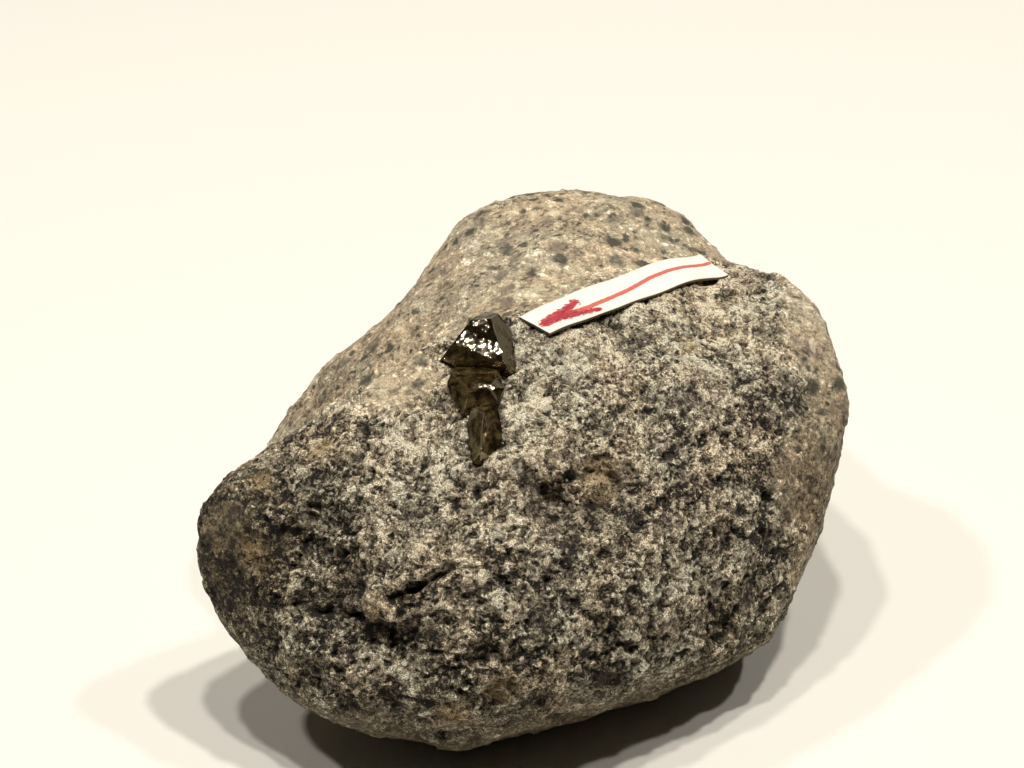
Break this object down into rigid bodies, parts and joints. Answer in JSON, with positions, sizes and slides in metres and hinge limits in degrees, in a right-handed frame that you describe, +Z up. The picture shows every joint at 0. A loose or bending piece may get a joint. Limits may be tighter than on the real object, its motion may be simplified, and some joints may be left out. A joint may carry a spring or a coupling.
{
  "type": "diamond crystal in matrix",
  "caption": "Brown intergrown diamond crystals set in the crest of a rounded grey kimberlite cobble, with a card pointer strip glued beside them.",
  "frame": {"origin": "centre of the bounding box's underside, in the plane that the stone rests on", "axes": "+Z up; -Y is the front, where the crystals face; -X is towards the narrow nose of the cobble"},
  "size_m": [0.0766, 0.0782, 0.0447],
  "materials": {
    "kimberlite": "rough speckled grey, worn smooth on the high places",
    "diamond": "glossy dark brown crystal",
    "label_card": "matt off-white card with a red felt-pen arrow"
  },
  "bodies": {
    "root": {"kimberlite_stone": "kimberlite", "diamond": "diamond", "pointer_label": "label_card"}
  },
  "joints": []
}
